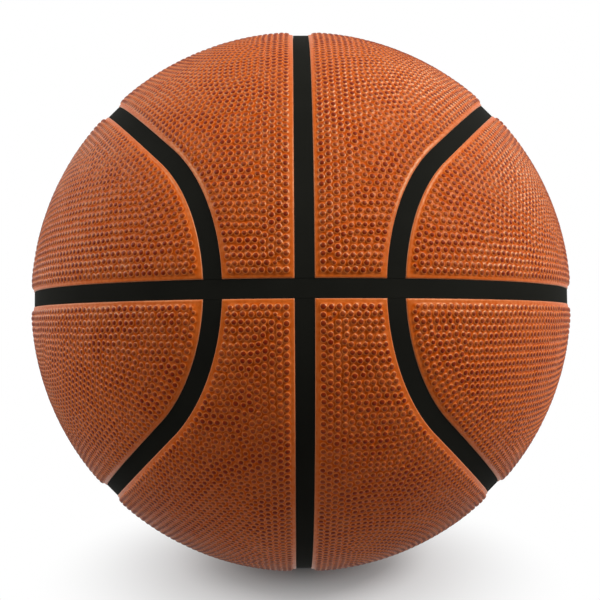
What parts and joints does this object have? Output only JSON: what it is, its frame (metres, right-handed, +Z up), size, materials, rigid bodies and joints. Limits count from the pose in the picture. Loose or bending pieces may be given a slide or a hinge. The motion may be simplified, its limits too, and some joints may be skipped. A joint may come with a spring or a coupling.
{
  "type": "basketball",
  "caption": "Inflatable ball with pebbled curved cover panels between recessed dark channel strips, a moulded carcass, a wound bladder and a self-sealing needle valve.",
  "frame": {"origin": "centre of the ball", "axes": "+Z up, at right angles to the equator line; -Y towards the viewer, where the vertical line crosses the equator; +X to the viewer's right, through the middle of a curved line's loop"},
  "size_m": [0.2392, 0.2386, 0.2392],
  "materials": {
    "cover": "pebbled, satin",
    "channel": "matte",
    "carcass": "matte",
    "winding": "matte thread",
    "bladder": "smooth",
    "valve_housing": "smooth",
    "valve_core": "smooth"
  },
  "bodies": {
    "ball": {"upper_left_side_panel": "cover", "upper_left_centre_panel": "cover", "upper_right_side_panel": "cover", "upper_right_centre_panel": "cover", "lower_left_side_panel": "cover", "lower_left_centre_panel": "cover", "lower_right_side_panel": "cover", "lower_right_centre_panel": "cover", "equator_strip": "channel", "upper_vertical_strip": "channel", "lower_vertical_strip": "channel", "upper_left_curve_strip": "channel", "upper_right_curve_strip": "channel", "lower_left_curve_strip": "channel", "lower_right_curve_strip": "channel", "carcass": "carcass", "winding": "winding", "bladder": "bladder", "valve_housing": "valve_housing"},
    "valve_core": {"valve_core": "valve_core"}
  },
  "joints": [
    {"name": "valve_core_pull", "type": "slide", "parent": "ball", "child": "valve_core", "axis": [0.3827, 0, 0.9239], "range_m": [0, 0.018]}
  ]
}
